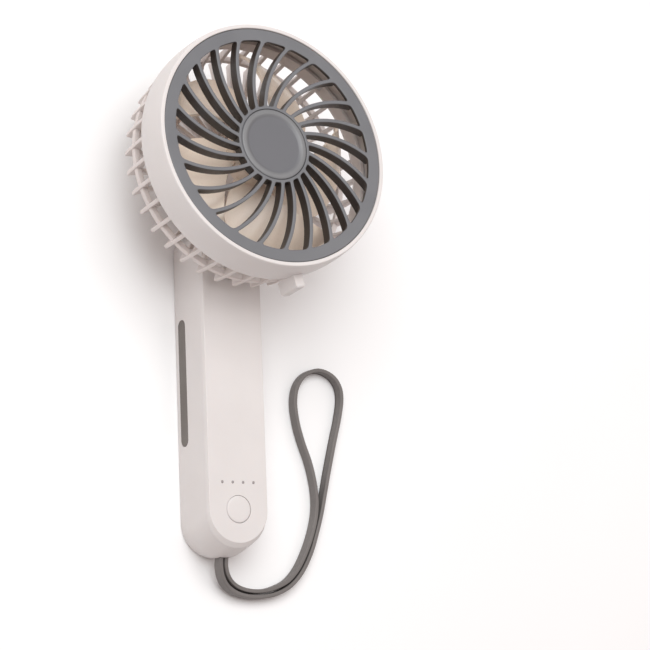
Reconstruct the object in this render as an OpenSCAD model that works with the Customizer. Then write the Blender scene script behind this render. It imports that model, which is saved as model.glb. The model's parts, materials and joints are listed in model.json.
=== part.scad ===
// Handheld electric fan with a tilting head, lying on the back of its handle.
// +Z is out of the handle's front panel, +Y runs up the handle to the head, +X is to the right seen
// from the front. The origin is on the handle's back face, half way along the handle.

/* [Handle] */
// Width of the handle body
handle_w = 30; // [26:0.5:36]
// Length of the handle body
handle_l = 142; // [125:1:170]
// Depth of the handle from its back face to its front panel
handle_d = 25; // [24:0.5:30]
// Wall thickness of the handle shell
shell_wall = 1.8; // [1.6:0.1:2.2]
// Thickness of the front panel
panel_t = 2; // [1.6:0.1:2.4]
// Distance that the shell stands out beyond each side of the front panel
panel_inset = 0.5; // [0.3:0.1:1]
// Radius of the corners at the top of the handle
top_corner_r = 7; // [4:0.5:8]
// Radius of the long edges at the back of the handle
back_edge_r = 2.2; // [1.5:0.1:2.8]
// Height of the fullest point of the bottom end above the back face
end_bulge_z = 10; // [8:0.5:13]
// Angle of the bottom end's face between its fullest point and the front panel
end_front_angle = 18; // [10:1:22]
// Angle of the bottom end's face between its fullest point and the back
end_back_angle = 10; // [4:1:14]

/* [Controls] */
// Distance from the bottom end to the middle of the power button
button_up = 20; // [18:0.5:24]
// Diameter of the power button
button_d = 11.9; // [9:0.1:13]
// Travel of the power button
button_travel = 0.6; // [0.4:0.1:0.8]
// Number of charge lights
led_n = 4; // [3:1:5]
// Spacing of the charge lights
led_pitch = 5.2; // [4:0.1:5.6]
// Distance from the button to the row of charge lights
led_up = 11.7; // [10:0.1:13]

/* [Grip strips] */
// Length of the inlaid strip on each side
strip_l = 56; // [40:1:70]
// Width of the inlaid strip
strip_w = 6; // [4:0.5:8]
// Thickness of the inlaid strip
strip_t = 1.1; // [0.8:0.1:1.3]

/* [Hinge] */
// Distance from the top of the handle to the hinge pin
hinge_down = 7.5; // [7:0.5:9]
// Height of the hinge pin above the back face
hinge_z = 14; // [12:0.5:15]
// Diameter of the hinge pin
hinge_pin_d = 3; // [2.5:0.5:4]
// Width of the knuckle on the neck arm
knuckle_w = 10.4; // [8:0.2:12]
// Radius of the knuckle
knuckle_r = 6.2; // [5:0.1:6.5]
// Angle that the head leans back as drawn
head_tilt = 8; // [0:1:20]

/* [Head] */
// Outer radius of the grey front grille
grille_r = 53.3; // [45:0.5:60]
// Depth of the grille and its vanes
grille_t = 5.2; // [3:0.1:6]
// Radial width of the grille's flat rim
grille_rim = 5.4; // [4:0.2:8]
// Radius of the grille's hub
hub_r = 17.5; // [15:0.5:20]
// Radius of the cap in the middle of the grille
cap_r = 16; // [12:0.5:16.5]
// Number of vanes
vane_n = 24; // [16:1:30]
// Thickness of a vane
vane_t = 1.7; // [1.2:0.1:2]
// Angle that a vane sweeps from hub to rim
vane_sweep = 24.4; // [15:0.5:30]
// Radius of the curve of a vane
vane_bend = 46; // [38:1:80]
// Angle that the vanes are turned about the head's axis
vane_turn = 8; // [0:1:14]
// Thickness of the white ring around the grille
ring_wall = 2.7; // [2:0.1:3.5]
// Depth of the white ring
ring_d = 18; // [16:0.5:22]
// Depth of the whole head from the front of the grille to the tips of the fins
head_d = 38.4; // [37:0.2:44]

/* [Rear cage] */
// Number of fins
fin_n = 36; // [24:1:40]
// Thickness of a fin
fin_t = 1.4; // [1:0.1:1.8]
// Distance from the hinge pin up to the axis of the head
pivot_drop = 30.8; // [28:0.1:40]
// Gap between the front panel and the fins when the head is parallel to the handle
head_gap = 6.4; // [5:0.2:12]

/* [Impeller and motor] */
// Number of blades
blade_n = 5; // [3:1:7]
// Gap between the tips of the blades and the inside of the cage
tip_gap = 4.2; // [3:0.1:10]
// Thickness of a blade
blade_t = 1.3; // [1:0.1:1.8]
// Pitch angle of a blade
blade_pitch = 27; // [20:1:32]
// Outer radius of the impeller's hub
impeller_hub_r = 14; // [12:0.5:15]
// Diameter of the motor can
motor_d = 22; // [18:0.5:23]
// Length of the motor can
motor_l = 14; // [12:0.5:14.5]
// Diameter of the motor shaft
shaft_d = 2; // [1.5:0.1:3]

/* [Battery] */
// Diameter of the battery cell
cell_d = 18.4; // [14:0.1:18.6]
// Length of the battery cell
cell_l = 65; // [50:1:65]

/* [Wrist strap] */
// Width of the strap, which lies on its edge
strap_w = 5; // [4:0.5:6]
// Thickness of the strap
strap_t = 1.8; // [1.4:0.1:2]

/* [Hidden] */
$fn = 64;

// ---- colours ----
white = [0.90, 0.86, 0.84];
grey = [0.34, 0.34, 0.36];
cream = [0.86, 0.80, 0.72];
steel = [0.72, 0.73, 0.75];
copper = [0.75, 0.42, 0.22];

eps = 0.5;             // how far a cutting shape runs past a face
fit_gap = 0.2;         // gap round a piece that drops into a recess
slide_gap = 0.2;       // gap round a piece that slides or turns near another
pin_gap = 0.05;        // radial clearance of a running pin

// ---- handle ----
bottom_y = -handle_l / 2;
top_y = handle_l / 2;
panel_z = handle_d - panel_t;             // underside of the front panel
button_y = bottom_y + button_up;
plan_over = 0.6;                          // the plan outline stands this far past the rounded end
hinge_y = top_y - hinge_down;
pivot_back = handle_d - hinge_z + head_gap;   // from the hinge pin forward to the tips of the fins
seam_y = top_y - 6;                       // where the shell and panel end and the hinge yoke shows
slot_w = knuckle_w + 1.9;                 // gap between the two cheeks
slot_y = hinge_y - knuckle_r - 1.5;       // bottom of the gap
yoke_gap = 0.3;                           // how far the shell and panel stand back from the gap

// Outline of the handle seen from the front, grown inwards by g
module handle_plan(g = 0) {
    half = handle_w / 2;
    arc_y = bottom_y - plan_over + half;
    translate([0, arc_y]) circle(r = half - g);
    translate([-half + g, arc_y]) square([2 * (half - g), top_y - top_corner_r - arc_y]);
    corner_r = top_corner_r - g;
    for (side = [-1, 1])
        translate([side * (half - top_corner_r), top_y - top_corner_r]) circle(r = corner_r);
    translate([-half + top_corner_r, top_y - top_corner_r - eps])
        square([2 * (half - top_corner_r), corner_r + eps]);
}

// A bar as wide as the handle with a round bottom end, leaning about the fullest point of that end
module leaning_end(g, angle) {
    half = handle_w / 2 + 0.3;
    translate([0, bottom_y, end_bulge_z]) rotate([angle, 0, 0]) translate([0, 0, -handle_l])
        linear_extrude(2 * handle_l) {
            translate([0, half]) circle(r = half - g);
            translate([-half + g, half]) square([2 * (half - g), 2 * handle_l]);
        }
}

// End view of the handle in X and Z, up to the height front_z
module handle_end(g, front_z) {
    half = handle_w / 2 + 0.4 - g;
    r = back_edge_r;
    for (side = [-1, 1]) translate([side * (half - r), g + r]) circle(r = r);
    translate([-half + r, g]) square([2 * (half - r), front_z - g]);
    translate([-half, g + r]) square([2 * half, front_z - g - r]);
}

module handle_body(g, front_z) {
    intersection() {
        translate([0, 0, -handle_d]) linear_extrude(3 * handle_d) handle_plan(g);
        leaning_end(g, -end_front_angle);
        leaning_end(g, end_back_angle);
        translate([0, handle_l, 0]) rotate([90, 0, 0]) linear_extrude(2 * handle_l)
            handle_end(g, front_z);
    }
}

// Everything between two distances along Y
module y_band(y0, y1) {
    translate([-handle_w, y0, -handle_d]) cube([2 * handle_w, y1 - y0, 3 * handle_d]);
}

module hinge_slot(extra = 0) {
    translate([-slot_w / 2 - extra, slot_y - extra, -handle_d])
        cube([slot_w + 2 * extra, handle_l, 3 * handle_d]);
}

post_xy = [[-7.2, button_y - 7.5], [7.2, button_y - 7.5]];
post_r = 2.2;
screw_r = 0.9;
screw_l = 6;
screw_head_r = 1.8;
board_z = panel_z - 8.6;                  // underside of the circuit board
board_t = 1.2;
board_top = board_z + board_t;
board_y0 = button_y - 10.4;
board_y1 = button_y + led_up + 4.5;
board_w = handle_w - 2 * shell_wall - 6;
strip_y = hinge_y - 57.5;                 // middle of the side strips
strip_z = 6.1;
strip_proud = 0.15;

port_w = 7.6;
port_h = 2.8;
port_depth = 5.4;
port_y = button_y + 1;
port_z = board_z - port_h - 0.1;

strap_x = -0.25;                          // middle of the two strands where they leave the handle
strap_exit_z = 9.5;
strap_gap = 2.5;                          // from strand to strand

module strip_plan(g = 0) {
    hull_l = strip_l - strip_w;
    translate([-hull_l / 2, 0]) circle(r = strip_w / 2 + g);
    translate([hull_l / 2, 0]) circle(r = strip_w / 2 + g);
    translate([-hull_l / 2, -strip_w / 2 - g]) square([hull_l, strip_w + 2 * g]);
}

// A side strip, its outer face stand proud of the handle's side by proud
module side_strip(side, g, proud) {
    x0 = side > 0 ? handle_w / 2 - strip_t : -handle_w / 2 - proud;
    translate([x0, strip_y, strip_z]) rotate([90, 0, 90]) linear_extrude(strip_t + proud) strip_plan(g);
}

module strap_slot(g) {
    w = strap_gap + strap_t + 2 * g;
    h = strap_w + 2 * g;
    translate([strap_x - w / 2, bottom_y - eps, strap_exit_z - h / 2]) cube([w, 12, h]);
}

module rear_shell() {
    color(white) difference() {
        union() {
            difference() {
                handle_body(0, panel_z);
                handle_body(shell_wall, handle_d);
            }
            for (p = post_xy) translate([p[0], p[1], shell_wall - 0.2])
                cylinder(r = post_r, h = board_z - shell_wall + 0.2);
            for (end = [-1, 1]) cell_rib(end);
        }
        y_band(seam_y, handle_l);
        hinge_slot(yoke_gap);
        for (side = [-1, 1]) side_strip(side, 0.05, eps);
        strap_slot(0.3);
        for (p = post_xy) translate([p[0], p[1], board_z - screw_l]) cylinder(r = screw_r, h = screw_l + 1);
        translate([handle_w / 2 - 4, port_y - port_w / 2 - 0.2, port_z - 0.2])
            cube([5, port_w + 0.4, port_h + 0.4]);
        for (side = [-1, 1]) yoke_screw_hole(side * yoke_screw_x);
    }
}

cell_y0 = board_y1 + 3.5;
cell_z = shell_wall + 0.5 + cell_d / 2;
rib_in = 8;                               // from each end of the cell to the rib under it
rib_h = 6;

// A cradle across the floor of the shell under each end of the cell
module cell_rib(end) {
    rib_t = 1.6;
    y = end < 0 ? cell_y0 + rib_in : cell_y0 + cell_l - rib_in;
    w = handle_w - 2 * shell_wall + 0.4;
    difference() {
        translate([-w / 2, y - rib_t / 2, shell_wall - 0.2]) cube([w, rib_t, rib_h]);
        translate([0, y - rib_t, cell_z]) rotate([-90, 0, 0])
            cylinder(r = cell_d / 2 + fit_gap, h = 2 * rib_t);
    }
}

module panel_plan(g = 0) {
    half = handle_w / 2 - panel_inset;
    translate([0, button_y]) circle(r = half - g);
    translate([-half + g, button_y]) square([2 * (half - g), seam_y - g - button_y]);
}

module front_panel() {
    lip_in = shell_wall - panel_inset + 0.9;
    lip_t = 1;
    lip_h = 1.6;
    color(white) difference() {
        union() {
            translate([0, 0, panel_z]) linear_extrude(panel_t) panel_plan(0);
            translate([0, 0, panel_z - lip_h]) linear_extrude(lip_h + 0.2) difference() {
                panel_plan(lip_in);
                panel_plan(lip_in + lip_t);
            }
        }
        hinge_slot(yoke_gap);
        translate([-handle_w, yoke_y0 - 1, panel_z - lip_h - eps])
            cube([2 * handle_w, handle_l, lip_h + eps]);
        translate([0, button_y, panel_z - eps])
            cylinder(d = button_d + 2 * slide_gap, h = panel_t + 2 * eps);
        for (i = [0:led_n - 1]) translate([led_x(i), button_y + led_up, panel_z - eps])
            cylinder(r = led_r + 0.05, h = panel_t + 2 * eps);
    }
}

led_r = 0.8;
function led_x(i) = (i - (led_n - 1) / 2) * led_pitch;

// ---- hinge ----
yoke_y0 = slot_y - 7;
cheek_x1 = handle_w / 2 - shell_wall - fit_gap;
yoke_z1 = panel_z - fit_gap;
yoke_screw_x = 8.5;
yoke_screw_y = yoke_y0 + 3;
yoke_screw_r = 0.95;
yoke_screw_l = 9;
yoke_head_r = 1.8;

// Clearance hole and counterbore through the back of the shell
module yoke_screw_hole(x) {
    translate([x, yoke_screw_y, -eps]) cylinder(r = yoke_screw_r + 0.15, h = 8);
    translate([x, yoke_screw_y, -eps]) cylinder(r = yoke_head_r + fit_gap, h = eps + 0.9);
}

module hinge_yoke() {
    color(white) difference() {
        union() {
            intersection() {
                handle_body(0, handle_d);
                y_band(seam_y + 0.1, handle_l);
            }
            intersection() {
                handle_body(shell_wall + fit_gap, yoke_z1);
                y_band(yoke_y0, seam_y + 1);
            }
        }
        hinge_slot(0);
        translate([-pin_l / 2, hinge_y, hinge_z]) rotate([0, 90, 0]) cylinder(d = hinge_pin_d, h = pin_l);
        translate([0, slot_y + eps, panel_z - 5]) rotate([90, 0, 0]) cylinder(r = lead_hole_r, h = 9);
        for (side = [-1, 1]) translate([side * yoke_screw_x, yoke_screw_y, 0])
            cylinder(r = yoke_screw_r, h = yoke_screw_l + 1);
    }
}

module yoke_screws() {
    color(steel) for (side = [-1, 1]) translate([side * yoke_screw_x, yoke_screw_y, 0.1]) {
        cylinder(r = yoke_screw_r, h = yoke_screw_l);
        difference() {
            cylinder(r = yoke_head_r, h = 0.75);
            translate([0, 0, -0.1]) cylinder(r = 0.7, h = 0.5, $fn = 6);
        }
    }
}

pin_l = 2 * cheek_x1 - 0.6;
lead_hole_r = 1.8;

module hinge_pin() {
    color(steel) translate([-pin_l / 2, hinge_y, hinge_z]) rotate([0, 90, 0])
        cylinder(d = hinge_pin_d, h = pin_l);
}

washer_t = 0.5;

module friction_washers() {
    color(steel) for (side = [-1, 1])
        translate([side * (slot_w + knuckle_w) / 4 - washer_t / 2, hinge_y, hinge_z]) rotate([0, 90, 0])
            difference() {
                cylinder(r = knuckle_r - 1.4, h = washer_t);
                translate([0, 0, -eps]) cylinder(r = hinge_pin_d / 2 + 0.02, h = washer_t + 2 * eps);
            }
}

// ---- controls and electronics ----
flange_t = 0.9;
button_proud = 0.3;
flange_z = panel_z - 0.25 - flange_t;
plunger_r = 1.6;
switch_h = 3.5;
switch_w = 6;
stem_bottom = board_top + switch_h + 1.4;

module power_button() {
    cap_z = flange_z + flange_t - 0.05;
    color(white) translate([0, button_y, 0]) {
        translate([0, 0, cap_z]) cylinder(d = button_d, h = handle_d + button_proud - cap_z);
        translate([0, 0, flange_z]) cylinder(d = button_d + 1.8, h = flange_t);
        translate([0, 0, stem_bottom]) cylinder(r = 1.5, h = flange_z - stem_bottom + 0.2);
    }
}

module switch_plunger() {
    color([0.15, 0.15, 0.16]) translate([0, button_y, stem_bottom - 2]) cylinder(r = plunger_r, h = 2);
}

module tact_switch() {
    color([0.25, 0.25, 0.27]) translate([0, button_y, board_top]) difference() {
        translate([-switch_w / 2, -switch_w / 2, 0]) cube([switch_w, switch_w, switch_h]);
        translate([0, 0, switch_h - 0.6 - button_travel - 0.3])
            cylinder(r = plunger_r + slide_gap, h = 3);
    }
}

module circuit_board() {
    color([0.12, 0.35, 0.2]) difference() {
        translate([-board_w / 2, board_y0, board_z]) cube([board_w, board_y1 - board_y0, board_t]);
        for (p = post_xy) translate([p[0], p[1], board_z - eps])
            cylinder(r = screw_r + fit_gap, h = board_t + 2 * eps);
    }
}

module board_screws() {
    color(steel) for (p = post_xy) translate([p[0], p[1], board_top]) {
        translate([0, 0, -screw_l]) cylinder(r = screw_r, h = screw_l + 0.2);
        cylinder(r = screw_head_r, h = 1);
    }
}

module board_parts() {
    // middle in X, middle in Y from the button, width, length, height
    chips = [[-6.8, 4.5, 3.4, 4.6, 1.2], [6.2, 4.5, 3.8, 3.8, 2.2],
             [-6.6, -1.2, 2, 3.4, 1.5], [6.4, -1.2, 2.4, 3, 1]];
    color([0.1, 0.1, 0.11]) for (c = chips)
        translate([c[0] - c[2] / 2, button_y + c[1] - c[3] / 2, board_top]) cube([c[2], c[3], c[4]]);
}

module charge_port() {
    rim = 0.4;
    x1 = handle_w / 2 - 0.3;
    color(steel) difference() {
        translate([x1 - port_depth, port_y - port_w / 2, port_z]) cube([port_depth, port_w, port_h]);
        translate([x1 - port_depth + rim, port_y - port_w / 2 + rim, port_z + rim])
            cube([port_depth, port_w - 2 * rim, port_h - 2 * rim]);
    }
    color([0.1, 0.1, 0.1]) translate([x1 - port_depth + rim - 0.1, port_y - 2, port_z + port_h / 2 - 0.3])
        cube([3.6, 4, 0.6]);
}

module led_lenses() {
    color([0.95, 0.95, 0.9]) for (i = [0:led_n - 1]) translate([led_x(i), button_y + led_up, 0]) {
        translate([0, 0, board_top]) cylinder(r = led_r, h = handle_d + 0.05 - board_top);
        translate([-1.2, -0.8, board_top]) cube([2.4, 1.6, 0.8]);
    }
}

module battery_cell() {
    color([0.2, 0.45, 0.55]) translate([0, cell_y0, cell_z]) rotate([-90, 0, 0]) {
        cylinder(d = cell_d, h = cell_l);
        translate([0, 0, cell_l]) cylinder(r = 3, h = cell_cap_h);
    }
}

cell_cap_h = 0.8;
tab_plate = [6, 0.3, 9];

module battery_tabs() {
    color(steel) for (y = [cell_y0 - tab_plate[1], cell_y0 + cell_l + cell_cap_h])
        translate([-tab_plate[0] / 2, y, cell_z - 3]) cube(tab_plate);
}

module battery_pad() {
    pad_w = 10;
    pad_z = cell_z + cell_d / 2;
    color([0.2, 0.2, 0.2]) translate([-pad_w / 2, cell_y0 + rib_in, pad_z])
        cube([pad_w, cell_l - 2 * rib_in, panel_z - pad_z]);
}

lead_r = 0.6;

// One wire each side of the cell, from the board to just below the hinge yoke
module battery_leads() {
    x = handle_w / 2 - shell_wall - 2;
    z = panel_z - 4.6;
    y0 = board_y1 - 1.5;
    for (side = [-1, 1]) color(side < 0 ? [0.7, 0.1, 0.1] : [0.1, 0.1, 0.1])
        translate([side * x, y0, z]) rotate([-90, 0, 0])
            cylinder(r = lead_r, h = yoke_y0 - 1.5 - y0, $fn = 24);
}

module side_strip_left() {
    color(grey) side_strip(-1, 0, strip_proud);
}

module side_strip_right() {
    color(grey) side_strip(1, 0, strip_proud);
}

// ---- wrist strap ----
strap_end_y = bottom_y + 5;

module strap_anchor() {
    anchor = [8, 3.5, 8];
    color([0.3, 0.3, 0.32]) translate([strap_x, strap_end_y + anchor[1] / 2, strap_exit_z])
        cube(anchor, center = true);
}

// Middle of the strap from the handle, round the loop and back into the handle, with Y counted from the
// bottom end of the handle
strap_route = [[-1.5, 5, 9.5], [-1.5, 1, 9.5], [-1.5, -3, 9], [0, -7.5, 7.5], [3.5, -11.5, 5.5],
               [9, -14.5, 4], [16, -16, 3], [23.5, -16, 2.7], [31, -14.5, 2.7], [38, -11, 2.7],
               [44, -5, 2.7], [49, 3.5, 2.7], [52.5, 12.5, 2.7], [55.5, 22, 2.7], [58, 32, 2.7],
               [60.5, 42, 2.7], [64, 55, 2.7], [67, 65.5, 2.7], [68.5, 74, 2.7], [67.5, 80, 2.7],
               [63.5, 84.5, 2.7], [56.5, 86.5, 2.7], [49.5, 84, 2.7], [45, 78.5, 2.7], [43.5, 71, 2.7],
               [44.5, 62, 2.7], [47, 53, 2.7], [50, 45, 2.7], [52, 37, 2.7], [53, 29, 2.7],
               [52.5, 21, 2.7], [50, 12, 2.7], [46.5, 4, 2.7], [42, -3.5, 2.7], [36.5, -9, 2.7],
               [30, -12, 2.7], [23.5, -13.5, 2.7], [16.5, -13.5, 3], [10, -12, 4], [5.5, -9.5, 5.5],
               [2.5, -6.5, 7.5], [1, -3, 9], [1, 1, 9.5], [1, 5, 9.5]];

// The eight corners of the strap's section round a point, with t the direction of the strap
function strap_ring(p, t) = let (
    side = cross(t, [0, 0, 1]) / norm(cross(t, [0, 0, 1])),
    a = strap_t / 2, b = strap_w / 2, c = 0.5,
    half = [[a, b - c], [a - c, b], [c - a, b], [-a, b - c]])
    [for (q = concat(half, -half)) p + side * q[0] + [0, 0, q[1]]];

module wrist_strap() {
    sides = 8;
    n = len(strap_route);
    rings = [for (i = [0:n - 1])
        strap_ring(strap_route[i], strap_route[min(i + 1, n - 1)] - strap_route[max(i - 1, 0)])];
    color(grey) translate([0, bottom_y, 0]) polyhedron(
        points = [for (r = rings, q = r) q],
        faces = concat(
            [for (i = [0:n - 2], j = [0:sides - 1]) let (k = (j + 1) % sides)
                [i * sides + j, i * sides + k, (i + 1) * sides + k]],
            [for (i = [0:n - 2], j = [0:sides - 1]) let (k = (j + 1) % sides)
                [i * sides + j, (i + 1) * sides + k, (i + 1) * sides + j]],
            [[for (j = [sides - 1:-1:0]) j]],
            [[for (j = [0:sides - 1]) (n - 1) * sides + j]]),
        convexity = 10);
}

// ---- head, drawn about its own axis with the front of the grille at z = 0 ----
module on_head() {
    translate([0, hinge_y, hinge_z]) rotate([-head_tilt, 0, 0])
        translate([0, pivot_drop, pivot_back + head_d]) children();
}

cage_gap = 0.15;                          // between the cage's flange and the ring
ring_in = grille_r + fit_gap;
ring_r = ring_in + ring_wall - fit_gap;
ring_crown_r = 60;
ledge_w = 1.6;
ledge_z = -grille_t - 0.3;
tab_turn = 11;
tab_z = -16.5;                            // half way along the rib
tab_w = 4.5;
tab_h = 7.2;
tab_t = 13;

module front_ring() {
    color(white) on_head() {
        difference() {
            ring_band();
            cage_screw_holes();
        }
        finger_tab();
    }
}

module ring_band() {
    rotate_extrude($fn = 128) difference() {
        intersection() {
            translate([ring_in - ledge_w, -ring_d]) square([ring_wall + ledge_w + 2, ring_d]);
            translate([ring_r - ring_crown_r, -ring_d / 2]) circle(r = ring_crown_r);
        }
        translate([0, ledge_z]) square([ring_in, ring_d]);
        translate([0, -ring_d - eps]) square([ring_in, ring_d + eps + ledge_z - 1.4]);
    }
}

// Rounded rib under the ring, running back past it, for a finger to turn it off its cage
module finger_tab() {
    tab_corner = 1.6;
    difference() {
        rotate([0, 0, tab_turn]) translate([0, -ring_r - tab_h + 1.2, tab_z - tab_t / 2])
            linear_extrude(tab_t) {
                translate([-tab_w / 2, tab_corner]) square([tab_w, tab_h - tab_corner]);
                translate([-tab_w / 2 + tab_corner, 0])
                    square([tab_w - 2 * tab_corner, tab_corner + 0.1]);
                for (side = [-1, 1]) translate([side * (tab_w / 2 - tab_corner), tab_corner])
                    circle(r = tab_corner);
            }
        translate([0, 0, -2 * ring_d]) cylinder(r = ring_r - 0.4, h = ring_d, $fn = 128);
    }
}

slot_r0 = hub_r;
slot_r1 = grille_r - grille_rim;

// Ends of a vane's middle line at the hub and at the rim, and the middle of the circle that it follows
vane_a = [slot_r0 - 1, 0];
vane_b = [(slot_r1 + 1) * cos(vane_sweep), -(slot_r1 + 1) * sin(vane_sweep)];
vane_half = norm(vane_b - vane_a) / 2;
vane_dir = (vane_b - vane_a) / (2 * vane_half);
vane_rise = sqrt(vane_bend * vane_bend - vane_half * vane_half);
vane_centre = (vane_a + vane_b) / 2 + vane_rise * [vane_dir[1], -vane_dir[0]];

// Plan of one vane: an arc of a ring between the hub and the rim
module vane_plan() {
    difference() {
        translate(vane_centre) circle(r = vane_bend + vane_t / 2, $fn = 128);
        translate(vane_centre) circle(r = vane_bend - vane_t / 2, $fn = 128);
    }
}

module vane_sector() {
    polygon([vane_a * 0.8, [slot_r1 * 1.1, slot_r1 * 0.35], [slot_r1 * 1.3, -slot_r1 * 0.5],
             [slot_r1 * 0.9, -slot_r1 * 0.75]]);
}

module front_grille() {
    color(grey) on_head() translate([0, 0, -grille_t]) {
        difference() {
            cylinder(r = grille_r, h = grille_t, $fn = 128);
            translate([0, 0, -eps]) cylinder(r = slot_r1, h = grille_t + 2 * eps, $fn = 128);
        }
        difference() {
            cylinder(r = hub_r, h = grille_t);
            translate([0, 0, grille_t - cap_t - 0.2]) cylinder(r = cap_r + 0.25, h = cap_t + eps);
            translate([0, 0, -eps]) cylinder(r = cap_peg_r + 0.1, h = grille_t + 2 * eps);
        }
        for (i = [0:vane_n - 1]) rotate([0, 0, vane_turn + i * 360 / vane_n]) linear_extrude(grille_t - 0.15)
            intersection() {
                vane_plan();
                vane_sector();
                difference() {
                    circle(r = slot_r1 + 0.6, $fn = 128);
                    circle(r = slot_r0 - 0.6);
                }
            }
    }
}

cap_t = 1.8;
cap_peg_r = 2.6;
cap_dish_r = 12.2;

module hub_cap() {
    color(grey) on_head() translate([0, 0, -cap_t]) difference() {
        union() {
            cylinder(r = cap_r, h = cap_t + 0.2);
            translate([0, 0, -grille_t + cap_t + 0.6]) cylinder(r = cap_peg_r, h = grille_t - cap_t);
        }
        translate([0, 0, cap_t - 0.3]) cylinder(r = cap_dish_r, h = 1);
    }
}

flange_r1 = ring_in - cage_gap;
flange_r0 = flange_r1 - 1.8;
fin_tip_r = ring_in - 1.2;
cup_floor = 2;
motor_back = -head_d + 1 + cup_floor;
motor_front = motor_back + motor_l;
cup_r = motor_d / 2 + 1.8;
cup_front = motor_front + 1.2;
hoop_z = -head_d + 7.2;
hoop_h = 2.5;
mid_hoop_r = fin_tip_r * 0.66;

// Side view of a fin in radius and Z
module fin_side() {
    polygon([[flange_r0 + 0.3, -ring_d - 1], [ring_r - 1.2, -ring_d - 1], [fin_tip_r, -head_d],
             [fin_tip_r - 2.4, -head_d + 0.7], [cup_r - 0.8, -head_d + 1.6], [cup_r - 0.8, -head_d + 5.2],
             [fin_tip_r - 7, -head_d + 4.6], [fin_tip_r - 3.4, -head_d + 7.4]]);
}

module tube(r1, r0, h) {
    difference() {
        cylinder(r = r1, h = h, $fn = 128);
        translate([0, 0, -eps]) cylinder(r = r0, h = h + 2 * eps, $fn = 128);
    }
}

neck_screw_r = motor_d / 2 - 1.4;
cage_screw_z = -ring_d + 3.5;
cage_screw_hole_r = 0.85;

module neck_screw_places() {
    for (i = [0:2]) rotate([0, 0, 90 + i * 120]) translate([neck_screw_r, 0, 0]) children();
}

module rear_cage() {
    color(white) on_head() difference() {
        union() {
            translate([0, 0, -ring_d]) tube(flange_r1, flange_r0, ring_d - 12);
            translate([0, 0, -ring_d - 2]) tube(ring_r - 1, flange_r0, 2);
            translate([0, 0, hoop_z]) tube(fin_tip_r + 0.3, fin_tip_r - 2.2, hoop_h);
            translate([0, 0, -head_d + 2.1]) tube(mid_hoop_r, mid_hoop_r - 2, 2);
            for (i = [0:fin_n - 1]) rotate([0, 0, (i + 0.5) * 360 / fin_n])
                translate([0, fin_t / 2, 0]) rotate([90, 0, 0]) linear_extrude(fin_t) fin_side();
            translate([0, 0, -head_d + 1]) cylinder(r = cup_r, h = cup_front + head_d - 1);
        }
        translate([0, 0, motor_back]) cylinder(d = motor_d + fit_gap, h = motor_l + 3);
        translate([0, 0, -head_d - eps]) cylinder(r = 4.9, h = cup_floor + 2);
        neck_screw_places() translate([0, 0, -head_d]) cylinder(r = 0.85, h = 2.6);
        cage_screw_holes();
    }
}

// Pilot holes for the screws that hold the cage in the ring
module cage_screw_holes() {
    for (i = [0:3]) rotate([0, 0, 45 + i * 90]) translate([flange_r0 - 2, 0, cage_screw_z])
        rotate([0, 90, 0]) cylinder(r = cage_screw_hole_r, h = 5.5);
}

module cage_screws() {
    color(steel) on_head() for (i = [0:3]) rotate([0, 0, 45 + i * 90])
        translate([flange_r0 - 0.7, 0, cage_screw_z]) rotate([0, 90, 0]) {
            cylinder(r = cage_screw_hole_r - 0.05, h = 3.8);
            cylinder(r = 1.4, h = 0.6);
        }
}

plate_t = 3;
lead_y = -3.9;
arm_t = 7;
neck_head_z = -head_d - plate_t + 2.3;    // seat of the screws' heads in the plate
neck_head_r = 1.8;
arm_top = [-5, -head_d - plate_t - 1.5];
pivot = [-pivot_drop, -head_d - pivot_back];
arm_dir = atan2(pivot[1] - arm_top[1], pivot[0] - arm_top[0]);
arm_len = norm(pivot - arm_top);

// Side view of the arm in Y and Z
module arm_side() {
    translate(arm_top) circle(r = arm_t / 2);
    translate(arm_top) rotate(arm_dir) translate([0, -arm_t / 2]) square([arm_len, arm_t]);
    translate(pivot) circle(r = knuckle_r);
}

module neck_arm() {
    color(white) on_head() difference() {
        union() {
            translate([0, 0, -head_d + 1 - plate_t]) cylinder(r = cup_r - 0.4, h = plate_t);
            translate([-knuckle_w / 2, 0, 0]) rotate([90, 0, 90]) linear_extrude(knuckle_w) difference() {
                arm_side();
                translate([-2 * head_d, -head_d + 1]) square([4 * head_d, head_d]);
            }
        }
        translate([-knuckle_w, pivot[0], pivot[1]]) rotate([0, 90, 0])
            cylinder(r = hinge_pin_d / 2 + pin_gap, h = 2 * knuckle_w);
        translate([0, lead_y, -head_d - plate_t - 7]) cylinder(r = 2.2, h = plate_t + 9);
        neck_screw_places() {
            translate([0, 0, neck_head_z]) cylinder(r = 1, h = plate_t);
            translate([0, 0, neck_head_z - 8.3]) cylinder(r = neck_head_r + 0.3, h = 8.3);
        }
    }
}

module neck_screws() {
    color(steel) on_head() neck_screw_places() translate([0, 0, neck_head_z]) {
        cylinder(r = 0.8, h = 3.2);
        difference() {
            translate([0, 0, -1.2]) cylinder(r = neck_head_r, h = 1.2);
            translate([0, 0, -1.3]) cylinder(r = 0.8, h = 0.8, $fn = 6);
        }
    }
}

// ---- motor, its back on the floor of the cup ----
can_wall = 0.8;
end_cap_t = 1.6;
bush_r = 2.6;
bush_l = 2.4;
motor_screw_x = 7;
motor_screw_r = 0.8;
shaft_r = shaft_d / 2;
shaft_bore = shaft_r + pin_gap;

module motor_can() {
    color(steel) on_head() translate([0, 0, motor_back + end_cap_t]) difference() {
        cylinder(d = motor_d, h = motor_l - end_cap_t);
        translate([0, 0, -eps]) cylinder(r = motor_d / 2 - can_wall, h = motor_l - end_cap_t - 1 + eps);
        cylinder(r = bush_r, h = motor_l);
        for (side = [-1, 1]) translate([side * motor_screw_x, 0, 0])
            cylinder(r = motor_screw_r, h = motor_l);
    }
}

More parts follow.
